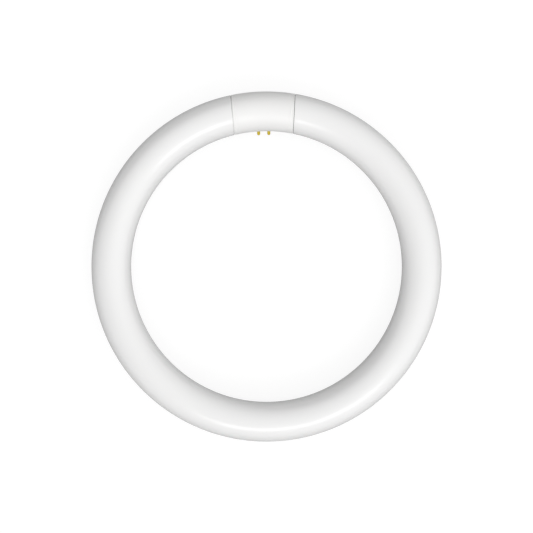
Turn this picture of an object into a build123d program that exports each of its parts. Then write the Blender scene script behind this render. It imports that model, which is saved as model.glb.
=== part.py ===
from build123d import *
import math
import os

# Circular lamp: an opal tube bent into a ring, closed by a moulded cap that carries
# four contact pins. The ring lies on its back: the ring's axis is Z, the lit front
# faces +Z, the cap sits on +Y, and z = 0 is the lowest point of the pin tips.

# Ring and tube
ring_od = 270.0
tube_od = 30.5
neck_radius = 11.5  # sealed neck at each end of the tube
neck_length = 4.6  # how far a neck stands into the cap
neck_bevel = 1.5
bend_margin = 0.4  # degrees of straight run left on each side of a seam

# Cap
cap_length = 47.0  # between the two seams, along X at the tube's centreline
cap_lean = 4.2  # degrees that each end of the cap leans towards its middle
seam_gap = 0.3
seam_depth = 0.8  # of the groove at a seam, down to the collar on the tube's end
cap_end_wall = 3.4
cap_wall = 1.4  # thinnest wall round the chamber
neck_clearance = 0.2

# Contact pins, at the corners of a rectangle that looks inward and backward
pin_tilt = 45.0  # degrees between a pin and the plane of the ring
pin_spacing_x = 7.92
pin_spacing_y = 6.35
pin_radius = 1.2
pin_length = 7.3
pin_tip_length = 0.9  # tapered end
pin_tip_bevel = 0.6
pin_shank_radius = 0.8  # from the board to the face of the pad
pin_tail_radius = 0.5
pin_tail_length = 0.8
press_clearance = 0.05

# Flat pad of the cap that the pins stand on
pad_depth = 1.55  # how far the pad is cut below the round of the cap
pad_length = 18.0
pad_thick = 2.3

# Pegs of the front half in the posts of the rear half
post_clearance = 0.7  # to the end of the tube's neck
post_outset = 5.0  # from the chamber's middle towards the outside of the ring
post_radius = 2.4
peg_radius = 1.3
peg_length = 4.0
peg_clearance = 0.1

# Driver board, carried on the shoulders of the pins
board_thick = 1.6
board_corner = 1.0
board_standoff = 4.4  # from the pad's inner face to the board
board_end_gap = 0.2  # to a post
board_side_gap = 0.55  # to the chamber's wall
board_hole_clearance = 0.1

# Parts on the board: y is up its slope, places are x, y and sizes are x, y, height
board_edge = 1.0  # from an end of the board to the parts nearest it
tail_gap = 1.0  # from a pin's tail to the long parts beside it
smoothing_y = -5.3
smoothing_clearance = 0.6  # to the chamber's far wall
can_bevel = 0.4
output_y = 5.6
output_radius = 2.5
output_height = 7.0
filter_y = -7.2
filter_width = 3.8
filter_height = 6.5
bridge_at = (0.0, -7.0)
bridge_size = (4.7, 3.9, 2.6)
chip_at = (0.0, 7.0)
chip_size = (4.9, 3.9, 1.5)
chip_lead = (0.5, 1.0, 0.3)
chip_lead_pitch = 1.27
varistor_at = (7.6, -1.6)
varistor_radius = 2.6
varistor_thick = 2.4
fuse_length = 4.6
fuse_radius = 1.3
core_y = 4.3
core_width = 8.6
core_height = 8.0
core_web = 1.6  # thickness of the ferrite round the coil
leg_radius = 1.6
coil_clearance = 0.1

# Lead wires from the tube's right neck to the board
wire_radius = 0.6
wire_y = 1.4  # one wire on each side of the board's middle
wire_lap = 2.1  # how far a wire lies on the board
trim_margin = 1.0  # what is made too long before it is cut to shape

os.makedirs("parts", exist_ok=True)

# Worked out from the sizes above
tube_radius = tube_od / 2
ring_radius = (ring_od - tube_od) / 2
cap_half = cap_length / 2
seam_y = math.sqrt(ring_radius**2 - cap_half**2)
cap_sag = ring_radius - seam_y
lean = math.radians(cap_lean)
tilt = math.radians(pin_tilt)
pad_face = tube_radius - pad_depth
pad_inner = pad_face - pad_thick
pin_tip = pad_face + pin_length
tip_drop = pin_tip * math.sin(tilt) + (pin_spacing_y / 2 + pin_radius - pin_tip_bevel) * math.cos(tilt)
taper_drop = (pin_tip - pin_tip_length) * math.sin(tilt) + (pin_spacing_y / 2 + pin_radius) * math.cos(tilt)
tube_z = max(tube_radius, tip_drop, taper_drop)
board_low = pad_inner - board_standoff
board_top = board_low - board_thick
chamber_y = ring_radius - cap_sag / 2
chamber_radius = tube_radius - cap_wall - cap_sag / 2
chamber_up = math.sin(tilt) * cap_sag / 2  # the chamber's middle, from the pins' plane
chamber_out = math.cos(tilt) * cap_sag / 2
post_x = cap_half + seam_gap - neck_length - post_radius - post_clearance
board_length = 2 * (post_x - post_radius - board_end_gap)
board_room = math.sqrt(chamber_radius**2 - (board_low - chamber_out) ** 2) - chamber_up
board_width = 2 * (board_room - board_side_gap)
board_end = board_length / 2 - board_edge
tail_end = pin_spacing_x / 2 + pin_tail_radius
bay_length = board_end - tail_end - tail_gap  # room for a part beyond the tails
smoothing_radius = (board_end - tail_end) / 2
smoothing_reach = abs(smoothing_y - chamber_up) + smoothing_radius
smoothing_room = math.sqrt(chamber_radius**2 - smoothing_reach**2) - chamber_out
smoothing_height = board_top + smoothing_room - smoothing_clearance
smoothing_at = (smoothing_radius - board_end, smoothing_y)
output_at = (board_end - output_radius, output_y)
filter_at = (board_end - bay_length / 2, filter_y)
core_at = (bay_length / 2 - board_end, core_y)
coil_rise = core_height - 2 * core_web
coil_radius = core_width / 2 - core_web - coil_clearance
wire_end = board_length / 2 - wire_lap


def end_angle(radius, outset):
    """Angle from +Y at which a cap end, moved outward by outset, crosses a circle."""
    base = (cap_half - seam_y * math.tan(lean)) * math.cos(lean)
    return cap_lean + math.degrees(math.asin((base + outset) / radius))


def section_plane(angle):
    """Plane square to the tube: x to the ring's centre, y up, z on round the ring."""
    a = math.radians(angle)
    return Plane(
        origin=(-ring_radius * math.sin(a), ring_radius * math.cos(a), tube_z),
        x_dir=(math.sin(a), -math.cos(a), 0),
        z_dir=(-math.cos(a), -math.sin(a), 0),
    )


def cap_block(outset):
    """Prism between the two leaning ends of the cap, each moved outward by outset."""
    half = cap_half + outset / math.cos(lean)
    low, high = ring_radius - 2 * tube_radius, ring_radius + 2 * tube_radius
    low_x = half + (low - seam_y) * math.tan(lean)
    high_x = half + (high - seam_y) * math.tan(lean)
    with BuildPart() as block:
        with BuildSketch(Plane.XY.offset(tube_z)):
            with BuildLine():
                Polyline((-low_x, low), (low_x, low), (high_x, high), (-high_x, high), close=True)
            make_face()
        extrude(amount=tube_od, both=True)
    return block.part


# The pins' own plane: z out along the pins, y up the pad towards the front
pin_plane = Plane(
    origin=(0, ring_radius, tube_z),
    x_dir=(1, 0, 0),
    z_dir=(0, -math.cos(tilt), -math.sin(tilt)),
)
pin_axis = Axis(pin_plane.origin, pin_plane.z_dir)

# Tube: the bend, then a short straight end and a sealed neck on each side of the cap
bend_end = end_angle(ring_radius - tube_radius, seam_gap) + bend_margin
end_turn = math.radians(bend_end - end_angle(ring_radius + tube_radius, seam_gap))
end_run = end_turn * (ring_radius + tube_radius) + trim_margin
seam_run = math.radians(bend_end - end_angle(ring_radius, seam_gap)) * ring_radius
right_end = section_plane(-bend_end)

# The collar on the tube's right end, which fills the seam and leaves a groove round it
with BuildPart() as seam_collar:
    with BuildSketch(right_end):
        Circle(tube_radius - seam_depth)
    extrude(amount=end_run)
    add(cap_block(0), mode=Mode.SUBTRACT)

with BuildPart() as lamp_tube:
    with BuildSketch(right_end):
        Circle(tube_radius)
    extrude(amount=end_run)
    add(cap_block(seam_gap), mode=Mode.SUBTRACT)
    add(seam_collar.part)
    with BuildSketch(right_end):
        Circle(neck_radius)
    extrude(amount=seam_run + neck_length)
    chamfer(lamp_tube.faces().sort_by(Axis.X)[0].edges(), neck_bevel)
    mirror(about=Plane.YZ)
    with BuildSketch(section_plane(bend_end)):
        Circle(tube_radius)
    revolve(axis=Axis.Z, revolution_arc=360 - 2 * bend_end)
lamp_tube.part.label = "lamp_tube"
export_step(lamp_tube.part, "parts/lamp_tube.step")

# Outer form of the cap, one half at a time: the same ring section as the tube's
cap_bend = end_angle(ring_radius + tube_radius, 0) - bend_margin
cap_turn = math.radians(end_angle(ring_radius - tube_radius, 0) - cap_bend)
cap_run = cap_turn * ring_radius + trim_margin


def half_disc(angle, start):
    """Half of the tube's round section, on the side that start looks to."""
    with BuildSketch(section_plane(angle)) as half:
        with BuildLine():
            CenterArc((0, 0), tube_radius, start, 180)
            Line((-tube_radius, 0), (tube_radius, 0))
        make_face()
    return half.sketch


def cap_blank(start):
    """Half of the cap before it is hollowed: start 0 is the front, 180 the rear."""
    with BuildPart() as blank:
        extrude(half_disc(cap_bend, start), amount=cap_run)
        extrude(half_disc(-cap_bend, start), amount=-cap_run)
        revolve(half_disc(-cap_bend, start), axis=Axis.Z, revolution_arc=2 * cap_bend)
        add(cap_block(0), mode=Mode.INTERSECT)
    return blank.part


front_blank = cap_blank(0)
rear_blank = cap_blank(180)

# Room inside the cap: a straight chamber, and a socket for each neck
with BuildPart() as cap_room:
    with BuildSketch(Plane.YZ):
        with Locations((chamber_y, tube_z)):
            Circle(chamber_radius)
    extrude(amount=cap_half, both=True)
    add(cap_block(-cap_end_wall), mode=Mode.INTERSECT)
    with BuildSketch(right_end):
        Circle(neck_radius + neck_clearance)
    extrude(amount=seam_run + neck_length)
    mirror(about=Plane.YZ)

post_spots = [(-post_x, chamber_y + post_outset), (post_x, chamber_y + post_outset)]


def posts(height):
    """Round posts from the parting plane, height up or down, as far as the chamber's wall."""
    with BuildPart() as pair:
        with BuildSketch(Plane.XY.offset(tube_z)):
            with Locations(*post_spots):
                Circle(post_radius)
        extrude(amount=height)
        add(cap_room.part, mode=Mode.INTERSECT)
    return pair.part


# Front half of the cap, with a post on each side that ends in a peg
with BuildPart() as cap_front:
    add(front_blank)
    add(cap_room.part, mode=Mode.SUBTRACT)
    add(posts(tube_radius))
    with BuildSketch(Plane.XY.offset(tube_z)):
        with Locations(*post_spots):
            Circle(peg_radius)
    extrude(amount=-peg_length)
cap_front.part.label = "cap_front"
export_step(cap_front.part, "parts/cap_front.step")

# Flat wall behind the pad, that grips the roots of the pins
with BuildPart() as pad_wall:
    with BuildSketch(pin_plane.offset(pad_inner)):
        Rectangle(pad_length, tube_od)
    extrude(amount=pad_thick)
    add(rear_blank, mode=Mode.INTERSECT)

# Rear half of the cap, with the flat pad, its pin holes and the posts' sockets
with BuildPart() as cap_rear:
    add(rear_blank)
    add(cap_room.part, mode=Mode.SUBTRACT)
    add(posts(-tube_radius))
    add(pad_wall.part)
    with BuildSketch(Plane.XY.offset(tube_z)):
        with Locations(*post_spots):
            Circle(peg_radius + peg_clearance)
    extrude(amount=-peg_length - peg_clearance, mode=Mode.SUBTRACT)
    with BuildSketch(pin_plane.offset(pad_face)):
        Rectangle(pad_length, tube_od)
    extrude(amount=tube_radius, mode=Mode.SUBTRACT)
    with BuildSketch(pin_plane.offset(pad_inner)):
        with GridLocations(pin_spacing_x, pin_spacing_y, 2, 2):
            Circle(pin_shank_radius + press_clearance)
    extrude(amount=pad_thick, mode=Mode.SUBTRACT)
cap_rear.part.label = "cap_rear"
export_step(cap_rear.part, "parts/cap_rear.step")

# Contact pins: a shoulder on the pad, a shank through it, and a tail through the board
pin_spots = [(x * pin_spacing_x / 2, y * pin_spacing_y / 2) for y in (1, -1) for x in (-1, 1)]
for number, spot in enumerate(pin_spots, start=1):
    with BuildPart() as contact_pin:
        with BuildSketch(pin_plane.offset(board_low)):
            with Locations(spot):
                Circle(pin_shank_radius)
        extrude(amount=pad_face - board_low)
        with BuildSketch(pin_plane.offset(pad_face)):
            with Locations(spot):
                Circle(pin_radius)
        extrude(amount=pin_length)
        chamfer(contact_pin.faces().sort_by(pin_axis)[-1].edges(), pin_tip_length, pin_tip_bevel)
        with BuildSketch(pin_plane.offset(board_low)):
            with Locations(spot):
                Circle(pin_tail_radius)
        extrude(amount=-board_thick - pin_tail_length)
    contact_pin.part.label = f"contact_pin_{number}"
    export_step(contact_pin.part, f"parts/contact_pin_{number}.step")

# Driver board, with a hole for the tail of each pin
with BuildPart() as driver_board:
    with BuildSketch(pin_plane.offset(board_top)):
        RectangleRounded(board_length, board_width, board_corner)
        with GridLocations(pin_spacing_x, pin_spacing_y, 2, 2):
            Circle(pin_tail_radius + board_hole_clearance, mode=Mode.SUBTRACT)
    extrude(amount=board_thick)
driver_board.part.label = "driver_board"
export_step(driver_board.part, "parts/driver_board.step")

# The board's parts stand on its face away from the pins, so they rise along -z
board_face = pin_plane.offset(board_top)


def can(name, spot, radius, height):
    """Round capacitor in a can with a bevelled rim."""
    with BuildPart() as body:
        with BuildSketch(board_face):
            with Locations(spot):
                Circle(radius)
        extrude(amount=-height)
        chamfer(body.faces().sort_by(pin_axis)[0].edges(), can_bevel)
    body.part.label = name
    export_step(body.part, f"parts/{name}.step")


can("smoothing_capacitor", smoothing_at, smoothing_radius, smoothing_height)
can("output_capacitor", output_at, output_radius, output_height)

with BuildPart() as filter_capacitor:
    with BuildSketch(board_face):
        with Locations(filter_at):
            Rectangle(bay_length, filter_width)
    extrude(amount=-filter_height)
    chamfer(filter_capacitor.faces().sort_by(pin_axis)[0].edges(), can_bevel)
filter_capacitor.part.label = "filter_capacitor"
export_step(filter_capacitor.part, "parts/filter_capacitor.step")


def flat_package(name, spot, size, rows):
    """Moulded package that stands on rows of flat leads along its two long sides."""
    with BuildPart() as body:
        with BuildSketch(board_face.offset(-chip_lead[2] / 2)):
            with Locations(spot):
                Rectangle(size[0], size[1])
        extrude(amount=-size[2])
        with BuildSketch(board_face):
            with Locations(spot):
                with GridLocations(chip_lead_pitch, size[1] + chip_lead[1] / 2, rows, 2):
                    Rectangle(chip_lead[0], chip_lead[1])
        extrude(amount=-chip_lead[2])
    body.part.label = name
    export_step(body.part, f"parts/{name}.step")


flat_package("driver_chip", chip_at, chip_size, 4)
flat_package("bridge_rectifier", bridge_at, bridge_size, 2)

# Varistor: a disc on edge
disc_middle = pin_plane.from_local_coords((*varistor_at, board_top - varistor_radius))
with BuildPart() as varistor:
    with BuildSketch(Plane(disc_middle, z_dir=(1, 0, 0))):
        Circle(varistor_radius)
    extrude(amount=varistor_thick / 2, both=True)
varistor.part.label = "varistor"
export_step(varistor.part, "parts/varistor.step")

# Fuse resistor: a barrel lying along y between the tails
barrel_low = pin_plane.from_local_coords((0, -fuse_length / 2, board_top - fuse_radius))
with BuildPart() as fuse_resistor:
    with BuildSketch(Plane(barrel_low, z_dir=pin_plane.y_dir)):
        Circle(fuse_radius)
    extrude(amount=fuse_length)
    chamfer(fuse_resistor.edges(), can_bevel)
fuse_resistor.part.label = "fuse_resistor"
export_step(fuse_resistor.part, "parts/fuse_resistor.step")

# Transformer: a ferrite frame with a middle leg, and the coil wound round that leg
with BuildPart() as transformer_core:
    with BuildSketch(board_face):
        with Locations(core_at):
            Rectangle(bay_length, core_width)
    extrude(amount=-core_height)
    with BuildSketch(board_face.offset(-core_web)):
        with Locations(core_at):
            Rectangle(bay_length, core_width - 2 * core_web)
            Circle(leg_radius, mode=Mode.SUBTRACT)
    extrude(amount=-coil_rise, mode=Mode.SUBTRACT)
transformer_core.part.label = "transformer_core"
export_step(transformer_core.part, "parts/transformer_core.step")

with BuildPart() as transformer_coil:
    with BuildSketch(board_face.offset(-core_web - coil_clearance)):
        with Locations(core_at):
            Circle(coil_radius)
            Circle(leg_radius + coil_clearance, mode=Mode.SUBTRACT)
    extrude(amount=-(coil_rise - 2 * coil_clearance))
transformer_coil.part.label = "transformer_coil"
export_step(transformer_coil.part, "parts/transformer_coil.step")

# Lead wires: each runs straight from the sealed neck and lies on the board's face
for name, side in (("lead_wire_positive", 1), ("lead_wire_negative", -1)):
    wire_start = pin_plane.from_local_coords((wire_end, side * wire_y, board_top - wire_radius))
    with BuildPart() as lead_wire:
        with BuildSketch(Plane(wire_start, x_dir=(0, 0, 1), z_dir=(1, 0, 0))):
            Circle(wire_radius)
        extrude(amount=cap_half - wire_end)
        add(lamp_tube.part, mode=Mode.SUBTRACT)
    lead_wire.part.label = name
    export_step(lead_wire.part, f"parts/{name}.step")
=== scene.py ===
import math

import bmesh
import bpy
from mathutils import Matrix, Vector


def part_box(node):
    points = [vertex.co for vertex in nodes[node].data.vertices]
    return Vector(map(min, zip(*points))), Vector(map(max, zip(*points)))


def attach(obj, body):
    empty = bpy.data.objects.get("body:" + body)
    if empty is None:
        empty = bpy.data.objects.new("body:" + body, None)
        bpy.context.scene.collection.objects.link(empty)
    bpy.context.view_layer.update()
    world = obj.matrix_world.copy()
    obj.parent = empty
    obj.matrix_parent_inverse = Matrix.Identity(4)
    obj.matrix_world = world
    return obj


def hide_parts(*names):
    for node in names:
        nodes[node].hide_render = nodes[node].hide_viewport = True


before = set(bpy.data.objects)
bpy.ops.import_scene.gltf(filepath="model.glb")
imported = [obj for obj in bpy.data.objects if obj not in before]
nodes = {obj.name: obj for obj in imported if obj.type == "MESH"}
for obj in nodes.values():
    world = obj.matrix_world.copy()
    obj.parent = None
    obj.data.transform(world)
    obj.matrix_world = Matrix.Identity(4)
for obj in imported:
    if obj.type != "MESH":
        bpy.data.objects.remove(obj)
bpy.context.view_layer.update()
scene = bpy.context.scene
print("frame loaded:", len(nodes), "nodes")

# The ring's own measures, read from the frame
tubeLow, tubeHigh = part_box("lamp_tube")
tubeRadius = (tubeHigh.z - tubeLow.z) / 2
ringMiddleZ = (tubeHigh.z + tubeLow.z) / 2
ringRadius = -tubeLow.y - tubeRadius


# Small helpers for node trees

# The first socket of that name that is switched on
def socketOf(collection, name):
    return next(s for s in collection if s.name == name and s.enabled)


def plug(tree, value, socket):
    if isinstance(value, bpy.types.NodeSocket):
        tree.links.new(value, socket)
    else:
        socket.default_value = value


def calc(tree, operation, *values):
    node = tree.nodes.new("ShaderNodeMath")
    node.operation = operation
    for value, socket in zip(values, node.inputs):
        plug(tree, value, socket)
    return node.outputs[0]


def newGeometryTree(name, inputs):
    tree = bpy.data.node_groups.new(name, "GeometryNodeTree")
    for label, kind, start in inputs:
        item = tree.interface.new_socket(label, in_out="INPUT", socket_type=kind)
        if start is not None:
            item.default_value = start
    tree.interface.new_socket("Geometry", in_out="OUTPUT", socket_type="NodeSocketGeometry")
    return tree, tree.nodes.new("NodeGroupInput"), tree.nodes.new("NodeGroupOutput")


# A plain mesh object made by the tree, at the origin
def runGeometryTree(name, tree, values):
    holder = bpy.data.objects.new(name + "Holder", bpy.data.meshes.new(name + "Holder"))
    scene.collection.objects.link(holder)
    modifier = holder.modifiers.new(name, "NODES")
    modifier.node_group = tree
    for item in tree.interface.items_tree:
        if item.item_type == "SOCKET" and item.in_out == "INPUT" and item.name in values:
            modifier[item.identifier] = values[item.name]
    evaluated = holder.evaluated_get(bpy.context.evaluated_depsgraph_get())
    mesh = bpy.data.meshes.new_from_object(evaluated)
    mesh.name = name
    # the holder's own empty slot comes first, so the slots are made anew
    mesh.materials.clear()
    mesh.materials.append(values["Material"])
    bpy.data.objects.remove(holder)
    piece = bpy.data.objects.new(name, mesh)
    scene.collection.objects.link(piece)
    return piece


# Merges doubles, closes what is open if asked, and turns the faces outwards
def tidyMesh(piece, mergeDistance=1e-6, fillHoles=False):
    work = bmesh.new()
    work.from_mesh(piece.data)
    bmesh.ops.remove_doubles(work, verts=work.verts, dist=mergeDistance)
    bmesh.ops.dissolve_degenerate(work, edges=work.edges, dist=mergeDistance)
    if fillHoles:
        bmesh.ops.holes_fill(work, edges=[e for e in work.edges if e.is_boundary], sides=0)
    bmesh.ops.recalc_face_normals(work, faces=work.faces)
    work.to_mesh(piece.data)
    work.free()


# Turns the piece's modifiers into its mesh
def bakeModifiers(piece):
    evaluated = piece.evaluated_get(bpy.context.evaluated_depsgraph_get())
    mesh = bpy.data.meshes.new_from_object(evaluated)
    piece.modifiers.clear()
    piece.data = mesh


def shadeSmooth(piece, degrees):
    piece.data.shade_smooth()
    work = bmesh.new()
    work.from_mesh(piece.data)
    limit = math.radians(degrees)
    for edge in work.edges:
        edge.smooth = len(edge.link_faces) == 2 and edge.calc_face_angle(0) < limit
    work.to_mesh(piece.data)
    work.free()


# Ring parts: a grid whose rows run along the ring and whose columns run round the tube.
# Two float curves give the shape of an end: how far along, and how deep below the surface.
# A span of 16 rows puts each row on an entry of the curve's table, so none is smoothed off.

turnedShape = {"alongScale": 0.01, "depthScale": 0.02, "curveSpan": 16}


def rowCurve(tree, row, points, scale):
    node = tree.nodes.new("ShaderNodeFloatCurve")
    curve = node.mapping.curves[0]
    node.mapping.use_clip = False
    while len(curve.points) < len(points):
        curve.points.new(0.5, 0.5)
    for point, (at, value) in zip(curve.points, points):
        point.location = (at / turnedShape["curveSpan"], value / scale)
        point.handle_type = "VECTOR"
    node.mapping.update()
    plug(tree, calc(tree, "DIVIDE", row, turnedShape["curveSpan"]), node.inputs["Value"])
    return calc(tree, "MULTIPLY", node.outputs[0], scale)


# profile lists (row, along, depth) in metres, from the piece's own end inwards
def ringTree(name, profile):
    lastRow = profile[-1][0]
    tree, given, out = newGeometryTree(name, [
        ("Ring Radius", "NodeSocketFloat", 0.12),
        ("Tube Radius", "NodeSocketFloat", 0.015),
        ("Middle Height", "NodeSocketFloat", 0.017),
        ("Cap Half", "NodeSocketFloat", 0.024),
        ("Lean", "NodeSocketFloat", 0.07),
        ("Gap", "NodeSocketFloat", 0.0),
        ("Away", "NodeSocketFloat", 1.0),
        ("Far Angle", "NodeSocketFloat", math.pi),
        ("Section Start", "NodeSocketFloat", 0.0),
        ("Section Sweep", "NodeSocketFloat", math.tau),
        ("Rows", "NodeSocketInt", 101),
        ("Columns", "NodeSocketInt", 49),
        ("Material", "NodeSocketMaterial", None),
    ])
    got = {s.name: s for s in given.outputs}
    grid = tree.nodes.new("GeometryNodeMeshGrid")
    tree.links.new(got["Rows"], grid.inputs["Vertices X"])
    tree.links.new(got["Columns"], grid.inputs["Vertices Y"])
    spot = tree.nodes.new("ShaderNodeSeparateXYZ")
    tree.links.new(tree.nodes.new("GeometryNodeInputPosition").outputs[0], spot.inputs[0])
    across = calc(tree, "ADD", spot.outputs["Y"], 0.5)
    halfRows = calc(tree, "DIVIDE", calc(tree, "SUBTRACT", got["Rows"], 1), 2)
    # whole rows from the nearer end, and which end that is
    fromEnd = calc(tree, "SUBTRACT", 0.5, calc(tree, "ABSOLUTE", spot.outputs["X"]))
    row = calc(tree, "ROUND", calc(tree, "MULTIPLY", calc(tree, "MULTIPLY", fromEnd, 2), halfRows))
    side = calc(tree, "SUBTRACT", 0, calc(tree, "SIGN", spot.outputs["X"]))
    shapeRow = calc(tree, "MINIMUM", row, lastRow)
    along = rowCurve(tree, shapeRow, [(r, a) for r, a, d in profile], turnedShape["alongScale"])
    depth = rowCurve(tree, shapeRow, [(r, d) for r, a, d in profile], turnedShape["depthScale"])
    # round the section
    turn = calc(tree, "MULTIPLY_ADD", across, got["Section Sweep"], got["Section Start"])
    reach = calc(tree, "SUBTRACT", got["Tube Radius"], depth)
    radius = calc(tree, "MULTIPLY_ADD", reach, calc(tree, "COSINE", turn), got["Ring Radius"])
    height = calc(tree, "MULTIPLY_ADD", reach, calc(tree, "SINE", turn), got["Middle Height"])
    # the angle at which the leaning end, moved along, crosses a circle of that radius
    ringSquare = calc(tree, "MULTIPLY", got["Ring Radius"], got["Ring Radius"])
    halfSquare = calc(tree, "MULTIPLY", got["Cap Half"], got["Cap Half"])
    seamY = calc(tree, "SQRT", calc(tree, "SUBTRACT", ringSquare, halfSquare))
    leanShift = calc(tree, "MULTIPLY", seamY, calc(tree, "TANGENT", got["Lean"]))
    base = calc(tree, "MULTIPLY", calc(tree, "SUBTRACT", got["Cap Half"], leanShift),
                calc(tree, "COSINE", got["Lean"]))
    outset = calc(tree, "MULTIPLY_ADD", along, got["Away"], got["Gap"])
    cross = calc(tree, "ARCSINE", calc(tree, "DIVIDE", calc(tree, "ADD", base, outset), radius))
    endAngle = calc(tree, "ADD", cross, got["Lean"])
    share = calc(tree, "DIVIDE", calc(tree, "SUBTRACT", row, shapeRow),
                 calc(tree, "SUBTRACT", halfRows, lastRow))
    rest = calc(tree, "SUBTRACT", got["Far Angle"], endAngle)
    angle = calc(tree, "MULTIPLY", calc(tree, "MULTIPLY_ADD", rest, share, endAngle), side)
    # the middle row has no side, so it takes the far angle itself
    isMiddle = calc(tree, "COMPARE", side, 0, 0.5)
    angle = calc(tree, "MULTIPLY_ADD", isMiddle, got["Far Angle"], angle)
    place = tree.nodes.new("ShaderNodeCombineXYZ")
    minusX = calc(tree, "MULTIPLY", radius, calc(tree, "SINE", angle))
    tree.links.new(calc(tree, "MULTIPLY", minusX, -1), place.inputs["X"])
    tree.links.new(calc(tree, "MULTIPLY", radius, calc(tree, "COSINE", angle)), place.inputs["Y"])
    tree.links.new(height, place.inputs["Z"])
    move = tree.nodes.new("GeometryNodeSetPosition")
    tree.links.new(grid.outputs["Mesh"], move.inputs["Geometry"])
    tree.links.new(place.outputs[0], move.inputs["Position"])
    real = tree.nodes.new("GeometryNodeRealizeInstances")
    paint = tree.nodes.new("GeometryNodeSetMaterial")
    tree.links.new(move.outputs[0], real.inputs[0])
    tree.links.new(real.outputs[0], paint.inputs["Geometry"])
    tree.links.new(got["Material"], paint.inputs["Material"])
    tree.links.new(paint.outputs[0], out.inputs[0])
    return tree


# Profile rows of a rounded edge, from the end face out to the surface
def roundedEdge(firstRow, steps, radius):
    rows = []
    for step in range(steps + 1):
        turn = math.radians(90 * step / steps)
        rows.append((firstRow + step, radius * (1 - math.cos(turn)), radius * (1 - math.sin(turn))))
    return rows


# Materials

finishGroups = {}


def newShaderGroup(name, inputs, outputs):
    group = bpy.data.node_groups.new(name, "ShaderNodeTree")
    for label, kind, start in inputs:
        item = group.interface.new_socket(label, in_out="INPUT", socket_type=kind)
        if start is not None:
            item.default_value = start
    for label, kind in outputs:
        group.interface.new_socket(label, in_out="OUTPUT", socket_type=kind)
    finishGroups[name] = group
    return group, group.nodes.new("NodeGroupInput"), group.nodes.new("NodeGroupOutput")


def noiseNode(tree, vector, scale, detail, roughness=0.5):
    node = tree.nodes.new("ShaderNodeTexNoise")
    tree.links.new(vector, node.inputs["Vector"])
    plug(tree, scale, node.inputs["Scale"])
    node.inputs["Detail"].default_value = detail
    node.inputs["Roughness"].default_value = roughness
    return node.outputs["Fac"]


skinNoise = {"driftDetail": 3, "grainDetail": 2, "grainRoughness": 0.6, "bumpDistance": 0.0001}


# Soft drift of tone and gloss, and a fine skin, as on moulded plastic
def buildMouldedSkin():
    group, given, out = newShaderGroup("mouldedSkin", [
        ("Vector", "NodeSocketVector", None),
        ("Color", "NodeSocketColor", (0.8, 0.8, 0.8, 1)),
        ("Tone Drift", "NodeSocketFloat", 0.02),
        ("Roughness", "NodeSocketFloat", 0.3),
        ("Gloss Drift", "NodeSocketFloat", 0.04),
        ("Drift Scale", "NodeSocketFloat", 30.0),
        ("Grain Scale", "NodeSocketFloat", 1500.0),
    ], [("Color", "NodeSocketColor"), ("Roughness", "NodeSocketFloat"), ("Height", "NodeSocketFloat")])
    vector = given.outputs["Vector"]
    drift = noiseNode(group, vector, given.outputs["Drift Scale"], skinNoise["driftDetail"])
    fine = noiseNode(group, vector, given.outputs["Grain Scale"], skinNoise["grainDetail"],
                     skinNoise["grainRoughness"])
    centred = calc(group, "MULTIPLY", calc(group, "SUBTRACT", drift, 0.5), 2)
    bright = calc(group, "MULTIPLY_ADD", centred, given.outputs["Tone Drift"], 1)
    tint = group.nodes.new("ShaderNodeVectorMath")
    tint.operation = "SCALE"
    group.links.new(given.outputs["Color"], tint.inputs[0])
    group.links.new(bright, tint.inputs["Scale"])
    group.links.new(tint.outputs[0], out.inputs["Color"])
    rough = calc(group, "MULTIPLY_ADD", centred, given.outputs["Gloss Drift"], given.outputs["Roughness"])
    group.links.new(rough, out.inputs["Roughness"])
    group.links.new(fine, out.inputs["Height"])


def newMaterial(name):
    material = bpy.data.materials.new(name)
    material.use_nodes = True
    tree = material.node_tree
    shader = tree.nodes["Principled BSDF"]
    where = tree.nodes.new("ShaderNodeTexCoord").outputs["Object"]
    return material, tree, shader, where


def placeGroup(tree, name, values):
    node = tree.nodes.new("ShaderNodeGroup")
    node.node_tree = finishGroups[name]
    for label, value in values.items():
        plug(tree, value, node.inputs[label])
    return node


def addBump(tree, shader, height, strength, distance):
    bump = tree.nodes.new("ShaderNodeBump")
    bump.inputs["Strength"].default_value = strength
    bump.inputs["Distance"].default_value = distance
    tree.links.new(height, bump.inputs["Height"])
    tree.links.new(bump.outputs[0], shader.inputs["Normal"])


buildMouldedSkin()

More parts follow.
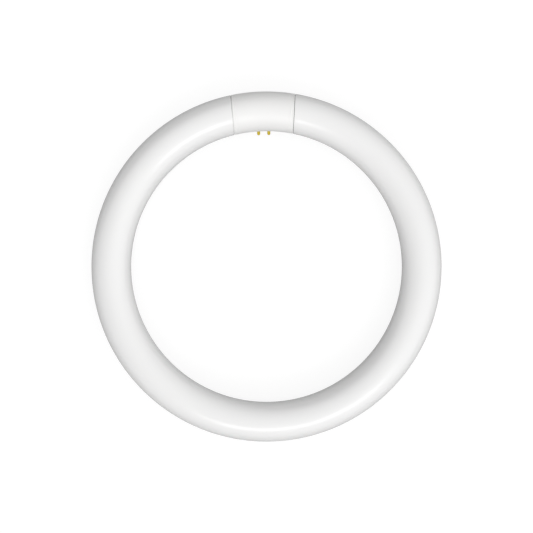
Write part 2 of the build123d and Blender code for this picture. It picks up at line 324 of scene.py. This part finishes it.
mouldedFinishes = {
    "opalTube": dict(color=(0.902, 0.90, 0.897), roughness=0.24, gloss=0.03, tone=0.006, drift=18.0,
                     grain=900.0, bump=0.02, ior=1.5, coat=0.5, coatRoughness=0.06),
    "capPlastic": dict(color=(0.925, 0.921, 0.912), roughness=0.36, gloss=0.04, tone=0.01, drift=60.0,
                       grain=2600.0, bump=0.05, ior=1.46, coat=0.0, coatRoughness=0.1),
    # seam grooves: a dark grey painted shade for the shadow inside the groove
    "seamPaintedShade": dict(color=(0.12, 0.12, 0.12), roughness=0.6, gloss=0.05, tone=0.1, drift=200.0,
                        grain=2500.0, bump=0.1, ior=1.45, coat=0.0, coatRoughness=0.1),
    "boardLaminate": dict(color=(0.05, 0.22, 0.10), roughness=0.4, gloss=0.1, tone=0.15, drift=120.0,
                          grain=3500.0, bump=0.2, ior=1.5, coat=0.3, coatRoughness=0.2),
    "capacitorSleeve": dict(color=(0.03, 0.035, 0.05), roughness=0.3, gloss=0.08, tone=0.1, drift=200.0,
                            grain=3000.0, bump=0.1, ior=1.5, coat=0.2, coatRoughness=0.15),
    "filmCase": dict(color=(0.68, 0.47, 0.05), roughness=0.35, gloss=0.06, tone=0.06, drift=200.0,
                     grain=3000.0, bump=0.1, ior=1.5, coat=0.0, coatRoughness=0.1),
    "packageEpoxy": dict(color=(0.02, 0.02, 0.022), roughness=0.6, gloss=0.08, tone=0.2, drift=300.0,
                         grain=5000.0, bump=0.3, ior=1.5, coat=0.0, coatRoughness=0.1),
    "varistorCoat": dict(color=(0.02, 0.09, 0.34), roughness=0.35, gloss=0.1, tone=0.1, drift=300.0,
                         grain=1800.0, bump=0.3, ior=1.5, coat=0.3, coatRoughness=0.2),
    "resistorCoat": dict(color=(0.20, 0.33, 0.27), roughness=0.6, gloss=0.1, tone=0.12, drift=300.0,
                         grain=2500.0, bump=0.3, ior=1.5, coat=0.0, coatRoughness=0.1),
    "ferrite": dict(color=(0.045, 0.045, 0.048), roughness=0.7, gloss=0.1, tone=0.25, drift=400.0,
                    grain=4000.0, bump=0.5, ior=1.6, coat=0.0, coatRoughness=0.1),
    "coilTape": dict(color=(0.70, 0.48, 0.10), roughness=0.35, gloss=0.08, tone=0.08, drift=250.0,
                     grain=2000.0, bump=0.15, ior=1.5, coat=0.4, coatRoughness=0.12),
    "wireRed": dict(color=(0.50, 0.03, 0.025), roughness=0.45, gloss=0.06, tone=0.08, drift=300.0,
                    grain=3000.0, bump=0.1, ior=1.5, coat=0.0, coatRoughness=0.1),
    "wireWhite": dict(color=(0.78, 0.78, 0.75), roughness=0.45, gloss=0.06, tone=0.04, drift=300.0,
                      grain=3000.0, bump=0.1, ior=1.5, coat=0.0, coatRoughness=0.1),
}


def mouldedMaterial(name):
    finish = mouldedFinishes[name]
    material, tree, shader, where = newMaterial(name)
    skin = placeGroup(tree, "mouldedSkin", {
        "Vector": where, "Color": (*finish["color"], 1), "Tone Drift": finish["tone"],
        "Roughness": finish["roughness"], "Gloss Drift": finish["gloss"],
        "Drift Scale": finish["drift"], "Grain Scale": finish["grain"]})
    tree.links.new(skin.outputs["Color"], shader.inputs["Base Color"])
    tree.links.new(skin.outputs["Roughness"], shader.inputs["Roughness"])
    addBump(tree, shader, skin.outputs["Height"], finish["bump"], skinNoise["bumpDistance"])
    shader.inputs["IOR"].default_value = finish["ior"]
    shader.inputs["Coat Weight"].default_value = finish["coat"]
    shader.inputs["Coat Roughness"].default_value = finish["coatRoughness"]
    return material


brassFinish = {"color": (1.0, 0.79, 0.10), "dull": (0.97, 0.70, 0.06), "roughness": 0.42,
               "glossDrift": 0.1, "tarnishShare": 0.6, "tarnishScale": 260.0, "tarnishDetail": 4,
               "grainScale": 900.0, "grainDetail": 2, "bump": 0.15, "bumpDistance": 0.00005}


# Bright brass with a light, patchy tarnish and a fine grain
def brassMaterial():
    finish = brassFinish
    material, tree, shader, where = newMaterial("pinBrass")
    tarnish = noiseNode(tree, where, finish["tarnishScale"], finish["tarnishDetail"])
    grain = noiseNode(tree, where, finish["grainScale"], finish["grainDetail"])
    blend = tree.nodes.new("ShaderNodeMix")
    blend.data_type = "RGBA"
    share = calc(tree, "MULTIPLY", tarnish, finish["tarnishShare"])
    tree.links.new(share, socketOf(blend.inputs, "Factor"))
    socketOf(blend.inputs, "A").default_value = (*finish["color"], 1)
    socketOf(blend.inputs, "B").default_value = (*finish["dull"], 1)
    tree.links.new(socketOf(blend.outputs, "Result"), shader.inputs["Base Color"])
    rough = calc(tree, "MULTIPLY_ADD", tarnish, finish["glossDrift"], finish["roughness"])
    tree.links.new(rough, shader.inputs["Roughness"])
    shader.inputs["Metallic"].default_value = 1.0
    addBump(tree, shader, grain, finish["bump"], finish["bumpDistance"])
    return material


seamShadeFade = {"pale": (0.86, 0.86, 0.86), "darkAtY": 0.130, "paleAtY": 0.113, "leftOfX": -0.01}


# The painted shade of the left seam goes from dark grey on the outside to nearly white on the inside, so the
# painted seam shadow fades inwards
def fadeSeamShade(material):
    tree = material.node_tree
    shader = tree.nodes["Principled BSDF"]
    darkColor = shader.inputs["Base Color"].links[0].from_socket
    spot = tree.nodes.new("ShaderNodeSeparateXYZ")
    tree.links.new(tree.nodes.new("ShaderNodeTexCoord").outputs["Object"], spot.inputs[0])
    inwards = tree.nodes.new("ShaderNodeMapRange")
    tree.links.new(spot.outputs["Y"], inwards.inputs["Value"])
    inwards.inputs["From Min"].default_value = seamShadeFade["darkAtY"]
    inwards.inputs["From Max"].default_value = seamShadeFade["paleAtY"]
    onLeft = calc(tree, "LESS_THAN", spot.outputs["X"], seamShadeFade["leftOfX"])
    blend = tree.nodes.new("ShaderNodeMix")
    blend.data_type = "RGBA"
    share = calc(tree, "MULTIPLY", inwards.outputs["Result"], onLeft)
    tree.links.new(share, socketOf(blend.inputs, "Factor"))
    tree.links.new(darkColor, socketOf(blend.inputs, "A"))
    socketOf(blend.inputs, "B").default_value = (*seamShadeFade["pale"], 1)
    tree.links.new(socketOf(blend.outputs, "Result"), shader.inputs["Base Color"])


materials = {name: mouldedMaterial(name) for name in mouldedFinishes}
fadeSeamShade(materials["seamPaintedShade"])
materials["pinBrass"] = brassMaterial()
print("materials made:", len(materials))


# Tube

lampTube = {"capHalf": 0.0235, "lean": 4.2, "seamGap": 0.0003, "seamDepth": 0.0008, "neckRadius": 0.0115,
            "neckLength": 0.0046, "seamShadeLap": 0.0001, "edgeRound": 0.00045, "edgeSteps": 5, "rows": 721,
            "columns": 97, "smoothLimit": 50}

sharedRing = {"Ring Radius": ringRadius, "Tube Radius": tubeRadius, "Middle Height": ringMiddleZ,
              "Cap Half": lampTube["capHalf"], "Lean": math.radians(lampTube["lean"])}


# The collar at the bottom of each seam's groove is painted dark grey, a painted shade that stands for the
# shadow deep in the groove
def paintSeamShade(piece):
    piece.data.materials.append(materials["seamPaintedShade"])
    limit = tubeRadius - lampTube["seamDepth"] + lampTube["seamShadeLap"]
    for face in piece.data.polygons:
        if face.center.y > 0:
            across = math.hypot(face.center.x, face.center.y) - ringRadius
            if math.hypot(across, face.center.z - ringMiddleZ) < limit:
                face.material_index = 1


def makeLampTube():
    size = lampTube
    neckDepth = tubeRadius - size["neckRadius"]
    # the closed neck, the collar that meets the cap, and the rounded edge above the seam's groove
    profile = [(0, -size["neckLength"], tubeRadius), (1, -size["neckLength"], neckDepth),
               (2, -size["seamGap"], neckDepth), (3, -size["seamGap"], size["seamDepth"]),
               (4, 0, size["seamDepth"])]
    profile += roundedEdge(5, size["edgeSteps"], size["edgeRound"])
    tree = ringTree("lampTubeRing", profile)
    piece = runGeometryTree("lampTube", tree, {
        **sharedRing, "Gap": size["seamGap"], "Away": 1.0, "Far Angle": math.pi,
        "Rows": size["rows"], "Columns": size["columns"], "Material": materials["opalTube"]})
    tidyMesh(piece)
    shadeSmooth(piece, size["smoothLimit"])
    paintSeamShade(piece)
    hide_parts("lamp_tube")
    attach(piece, "root")
    print("tube made:", len(piece.data.polygons), "faces")
    return piece


makeLampTube()


# Cap: two half shells that meet on the ring's middle plane

capShell = {"frontWall": 0.0014, "rearWall": 0.002, "endWall": 0.0034, "socketRadius": 0.0117,
            "edgeRound": 0.0005, "edgeSteps": 5, "linesAt": (0.0016, 0.0030), "lineWidth": 0.0004,
            "lineDepth": 0.00015, "rows": 141, "innerRows": 41, "columns": 49, "smoothLimit": 35,
            "padFace": 0.0137, "padLength": 0.018, "padReach": 0.03, "padTilt": 45.0}


# From the end wall's inner face, out through the socket and round the edge to the outside
def capProfile():
    size = capShell
    socketDepth = tubeRadius - size["socketRadius"]
    rows = [(0, size["endWall"], socketDepth), (1, 0, socketDepth)]
    rows += roundedEdge(2, size["edgeSteps"], size["edgeRound"])
    # two faint lines round the cap, near its end
    for line in size["linesAt"]:
        for along, depth in ((-size["lineWidth"], 0), (0, size["lineDepth"]), (size["lineWidth"], 0)):
            rows.append((rows[-1][0] + 1, line + along, depth))
    return rows


def makeCapHalf(name, sectionStart, wall):
    size = capShell
    outside = runGeometryTree(name + "Outside", ringTree(name + "OutsideRing", capProfile()), {
        **sharedRing, "Gap": 0.0, "Away": -1.0, "Far Angle": 0.0, "Section Start": sectionStart,
        "Section Sweep": math.pi, "Rows": size["rows"], "Columns": size["columns"],
        "Material": materials["capPlastic"]})
    socketDepth = tubeRadius - size["socketRadius"]
    innerRows = [(0, size["endWall"], socketDepth), (1, size["endWall"], wall)]
    inside = runGeometryTree(name, ringTree(name + "InsideRing", innerRows), {
        **sharedRing, "Gap": 0.0, "Away": -1.0, "Far Angle": 0.0, "Section Start": sectionStart,
        "Section Sweep": math.pi, "Rows": size["innerRows"], "Columns": size["columns"],
        "Material": materials["capPlastic"]})
    work = bmesh.new()
    work.from_mesh(inside.data)
    work.from_mesh(outside.data)
    work.to_mesh(inside.data)
    work.free()
    bpy.data.objects.remove(outside)
    tidyMesh(inside, fillHoles=True)
    return inside


# Place and turn of the pins' own plane: z out along the pins, y up the pad
def pinFrame():
    tilt = math.radians(capShell["padTilt"])
    out = Vector((0, -math.cos(tilt), -math.sin(tilt)))
    up = out.cross(Vector((1, 0, 0)))
    turn = Matrix((Vector((1, 0, 0)), up, out)).transposed().to_4x4()
    return Matrix.Translation((0, ringRadius, ringMiddleZ)) @ turn


def boxObject(name, low, high, matrix):
    mesh = bpy.data.meshes.new(name)
    work = bmesh.new()
    bmesh.ops.create_cube(work, size=1)
    for vertex in work.verts:
        vertex.co = Vector(a + (c + 0.5) * (b - a) for a, b, c in zip(low, high, vertex.co))
    work.transform(matrix)
    bmesh.ops.recalc_face_normals(work, faces=work.faces)
    work.to_mesh(mesh)
    work.free()
    box = bpy.data.objects.new(name, mesh)
    scene.collection.objects.link(box)
    return box


# Cuts the flat that the pins stand on
def cutPad(piece):
    size = capShell
    half, reach = size["padLength"] / 2, size["padReach"]
    cutter = boxObject("padCutter", (-half, -reach, size["padFace"]), (half, reach, reach), pinFrame())
    cut = piece.modifiers.new("pad", "BOOLEAN")
    cut.operation = "DIFFERENCE"
    cut.solver = "EXACT"
    cut.object = cutter
    bakeModifiers(piece)
    bpy.data.objects.remove(cutter)


def makeCap():
    halves = (("capFront", 0.0, "frontWall", "cap_front"), ("capRear", math.pi, "rearWall", "cap_rear"))
    for name, start, wall, node in halves:
        piece = makeCapHalf(name, start, capShell[wall])
        if name == "capRear":
            cutPad(piece)
        shadeSmooth(piece, capShell["smoothLimit"])
        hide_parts(node)
        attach(piece, "root")
        print(name, "made:", len(piece.data.polygons), "faces")


makeCap()


# Contact pins: one turned shape, four places

contactPins = {"shankRadius": 0.0008, "radius": 0.0012, "start": 0.007, "shoulder": 0.0137, "tip": 0.021,
               "tipLength": 0.0014, "tipSteps": 10, "spacingX": 0.00792, "spacingY": 0.00635, "sides": 48,
               "smoothLimit": 50}


# Rows of (along the pin, radius), from the board to the tip
def pinProfile():
    size = contactPins
    rows = [(size["start"], 0), (size["start"], size["shankRadius"]), (size["shoulder"], size["shankRadius"]),
            (size["shoulder"], size["radius"])]
    for step in range(size["tipSteps"] + 1):
        turn = math.radians(90 * step / size["tipSteps"])
        rows.append((size["tip"] - size["tipLength"] * (1 - math.sin(turn)), size["radius"] * math.cos(turn)))
    return rows


def pinTree(profile):
    tree, given, out = newGeometryTree("contactPinSet", [
        ("Spacing X", "NodeSocketFloat", 0.008),
        ("Spacing Y", "NodeSocketFloat", 0.006),
        ("Rows", "NodeSocketInt", len(profile)),
        ("Columns", "NodeSocketInt", 49),
        ("Material", "NodeSocketMaterial", None),
    ])
    got = {s.name: s for s in given.outputs}
    grid = tree.nodes.new("GeometryNodeMeshGrid")
    tree.links.new(got["Rows"], grid.inputs["Vertices X"])
    tree.links.new(got["Columns"], grid.inputs["Vertices Y"])
    spot = tree.nodes.new("ShaderNodeSeparateXYZ")
    tree.links.new(tree.nodes.new("GeometryNodeInputPosition").outputs[0], spot.inputs[0])
    share = calc(tree, "ADD", spot.outputs["X"], 0.5)
    row = calc(tree, "ROUND", calc(tree, "MULTIPLY", share, calc(tree, "SUBTRACT", got["Rows"], 1)))
    turn = calc(tree, "MULTIPLY", spot.outputs["Y"], math.tau)
    along = rowCurve(tree, row, list(enumerate(a for a, r in profile)), turnedShape["depthScale"])
    radius = rowCurve(tree, row, list(enumerate(r for a, r in profile)), turnedShape["depthScale"])
    place = tree.nodes.new("ShaderNodeCombineXYZ")
    tree.links.new(calc(tree, "MULTIPLY", radius, calc(tree, "COSINE", turn)), place.inputs["X"])
    tree.links.new(calc(tree, "MULTIPLY", radius, calc(tree, "SINE", turn)), place.inputs["Y"])
    tree.links.new(along, place.inputs["Z"])
    move = tree.nodes.new("GeometryNodeSetPosition")
    tree.links.new(grid.outputs["Mesh"], move.inputs["Geometry"])
    tree.links.new(place.outputs[0], move.inputs["Position"])
    corners = tree.nodes.new("GeometryNodeMeshGrid")
    corners.inputs["Vertices X"].default_value = 2
    corners.inputs["Vertices Y"].default_value = 2
    tree.links.new(got["Spacing X"], corners.inputs["Size X"])
    tree.links.new(got["Spacing Y"], corners.inputs["Size Y"])
    spread = tree.nodes.new("GeometryNodeInstanceOnPoints")
    tree.links.new(corners.outputs["Mesh"], spread.inputs["Points"])
    tree.links.new(move.outputs[0], spread.inputs["Instance"])
    real = tree.nodes.new("GeometryNodeRealizeInstances")
    paint = tree.nodes.new("GeometryNodeSetMaterial")
    tree.links.new(spread.outputs[0], real.inputs[0])
    tree.links.new(real.outputs[0], paint.inputs["Geometry"])
    tree.links.new(got["Material"], paint.inputs["Material"])
    tree.links.new(paint.outputs[0], out.inputs[0])
    return tree


def makeContactPins():
    size = contactPins
    profile = pinProfile()
    piece = runGeometryTree("contactPins", pinTree(profile), {
        "Spacing X": size["spacingX"], "Spacing Y": size["spacingY"], "Rows": len(profile),
        "Columns": size["sides"] + 1, "Material": materials["pinBrass"]})
    piece.data.transform(pinFrame())
    tidyMesh(piece)
    shadeSmooth(piece, size["smoothLimit"])
    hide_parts(*[f"contact_pin_{n}" for n in range(1, 5)])
    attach(piece, "root")
    print("pins made:", len(piece.data.polygons), "faces")


makeContactPins()


# Parts inside the cap keep their own solids

innerFinish = {"driver_board": "boardLaminate", "smoothing_capacitor": "capacitorSleeve",
               "output_capacitor": "capacitorSleeve", "filter_capacitor": "filmCase",
               "bridge_rectifier": "packageEpoxy", "driver_chip": "packageEpoxy", "varistor": "varistorCoat",
               "fuse_resistor": "resistorCoat", "transformer_core": "ferrite", "transformer_coil": "coilTape",
               "lead_wire_positive": "wireRed", "lead_wire_negative": "wireWhite"}

for nodeName, finishName in innerFinish.items():
    nodes[nodeName].data.materials.clear()
    nodes[nodeName].data.materials.append(materials[finishName])
print("inner parts painted:", len(innerFinish))


# Floor, light and camera

studio = {"floorSize": 8.0, "floorColor": (0.2, 0.2, 0.2), "floorSeen": 0.85, "floorMirrored": 0.28,
          "domeStrength": 0.77,
          "darkAzimuth": 325.0, "darkElevation": -4.0, "darkFrom": 50.0, "darkTo": 30.0, "darkShare": 1.0,
          "sideAzimuth": 75.0, "sideElevation": 40.0, "sideFrom": 75.0, "sideTo": 15.0, "sideExtra": 0.22,
          "keyAzimuth": 168.0, "keyElevation": 48.0, "keyHalfWidth": 24.0, "keyHalfHeight": 9.0,
          "keySoftness": 5.0, "keyExtra": 2.6}


# Azimuth runs clockwise from the cap, as seen from above
def azimuthVector(azimuth, elevation=0.0):
    a, e = math.radians(azimuth), math.radians(elevation)
    return Vector((math.sin(a) * math.cos(e), math.cos(a) * math.cos(e), math.sin(e)))


# The floor's own white, for rays from the camera and for reflected and refracted ones
def floorWhite(tree):
    light = tree.nodes.new("ShaderNodeLightPath")
    mirrored = calc(tree, "MAXIMUM", light.outputs["Is Glossy Ray"], light.outputs["Is Transmission Ray"])
    seen = calc(tree, "MULTIPLY", light.outputs["Is Camera Ray"], studio["floorSeen"])
    return calc(tree, "MULTIPLY_ADD", mirrored, studio["floorMirrored"], seen)


def makeFloor():
    mesh = bpy.data.meshes.new("floor")
    half = studio["floorSize"] / 2
    corners = [(-half, -half, 0), (half, -half, 0), (half, half, 0), (-half, half, 0)]
    mesh.from_pydata(corners, [], [(0, 1, 2, 3)])
    floor = bpy.data.objects.new("floor", mesh)
    scene.collection.objects.link(floor)
    material = bpy.data.materials.new("floorPaper")
    material.use_nodes = True
    tree = material.node_tree
    tree.nodes.clear()
    diffuse = tree.nodes.new("ShaderNodeBsdfDiffuse")
    diffuse.inputs["Color"].default_value = (*studio["floorColor"], 1)
    glow = tree.nodes.new("ShaderNodeEmission")
    glow.inputs["Color"].default_value = (1, 1, 1, 1)
    tree.links.new(floorWhite(tree), glow.inputs["Strength"])
    both = tree.nodes.new("ShaderNodeAddShader")
    tree.links.new(diffuse.outputs[0], both.inputs[0])
    tree.links.new(glow.outputs[0], both.inputs[1])
    result = tree.nodes.new("ShaderNodeOutputMaterial")
    tree.links.new(both.outputs[0], result.inputs["Surface"])
    mesh.materials.append(material)


# How far a direction lies inside a soft round patch of the dome, from 0 to 1
def domePatch(tree, direction, name):
    towards = tree.nodes.new("ShaderNodeVectorMath")
    towards.operation = "DOT_PRODUCT"
    tree.links.new(direction, towards.inputs[0])
    towards.inputs[1].default_value = azimuthVector(studio[name + "Azimuth"], studio[name + "Elevation"])
    soft = tree.nodes.new("ShaderNodeMapRange")
    soft.interpolation_type = "SMOOTHSTEP"
    tree.links.new(towards.outputs["Value"], soft.inputs["Value"])
    soft.inputs["From Min"].default_value = math.cos(math.radians(studio[name + "From"]))
    soft.inputs["From Max"].default_value = math.cos(math.radians(studio[name + "To"]))
    return soft.outputs["Result"]


# How far a direction lies inside the key softbox, a wide rectangle with soft edges
def keyWindow(tree, direction):
    centre = azimuthVector(studio["keyAzimuth"], studio["keyElevation"])
    across = azimuthVector(studio["keyAzimuth"] + 90)
    inside = None
    for axis, half in ((across, studio["keyHalfWidth"]), (centre.cross(across), studio["keyHalfHeight"])):
        along = tree.nodes.new("ShaderNodeVectorMath")
        along.operation = "DOT_PRODUCT"
        tree.links.new(direction, along.inputs[0])
        along.inputs[1].default_value = axis
        soft = tree.nodes.new("ShaderNodeMapRange")
        soft.interpolation_type = "SMOOTHSTEP"
        tree.links.new(calc(tree, "ABSOLUTE", along.outputs["Value"]), soft.inputs["Value"])
        soft.inputs["From Min"].default_value = math.sin(math.radians(half + studio["keySoftness"]))
        soft.inputs["From Max"].default_value = math.sin(math.radians(half - studio["keySoftness"]))
        share = soft.outputs["Result"]
        inside = share if inside is None else calc(tree, "MULTIPLY", inside, share)
    towards = tree.nodes.new("ShaderNodeVectorMath")
    towards.operation = "DOT_PRODUCT"
    tree.links.new(direction, towards.inputs[0])
    towards.inputs[1].default_value = centre
    return calc(tree, "MULTIPLY", inside, calc(tree, "GREATER_THAN", towards.outputs["Value"], 0))


# A soft dome with a broad brighter side, a large key patch and a dim stretch low down on the left
def makeWorld():
    world = bpy.data.worlds.new("dome")
    scene.world = world
    world.use_nodes = True
    tree = world.node_tree
    back = tree.nodes["Background"]
    direction = tree.nodes.new("ShaderNodeTexCoord").outputs["Generated"]
    light = calc(tree, "MULTIPLY_ADD", domePatch(tree, direction, "side"), studio["sideExtra"],
                 studio["domeStrength"])
    left = calc(tree, "MULTIPLY_ADD", domePatch(tree, direction, "dark"), -studio["darkShare"], 1)
    light = calc(tree, "MULTIPLY", light, left)
    light = calc(tree, "MULTIPLY_ADD", keyWindow(tree, direction), studio["keyExtra"], light)
    seen = tree.nodes.new("ShaderNodeMix")
    path = tree.nodes.new("ShaderNodeLightPath")
    tree.links.new(path.outputs["Is Camera Ray"], socketOf(seen.inputs, "Factor"))
    tree.links.new(light, socketOf(seen.inputs, "A"))
    socketOf(seen.inputs, "B").default_value = 1.0
    tree.links.new(socketOf(seen.outputs, "Result"), back.inputs["Strength"])
    back.inputs["Color"].default_value = (1, 1, 1, 1)


# width is what the frame shows across at the ring's middle height
camera = {"distance": 1.2, "width": 0.41125, "sensor": 36.0, "roll": -1.2, "clipStart": 0.05,
          "clipEnd": 50}


def makeCamera():
    data = bpy.data.cameras.new("camera")
    data.sensor_width = camera["sensor"]
    data.lens = camera["sensor"] * camera["distance"] / camera["width"]
    data.clip_start = camera["clipStart"]
    data.clip_end = camera["clipEnd"]
    eye = bpy.data.objects.new("camera", data)
    scene.collection.objects.link(eye)
    eye.location = (0, 0, ringMiddleZ + camera["distance"])
    eye.rotation_euler = (0, 0, math.radians(camera["roll"]))
    scene.camera = eye


makeFloor()
makeWorld()
makeCamera()
scene.view_settings.view_transform = "Standard"
print("studio made")

bpy.context.view_layer.update()
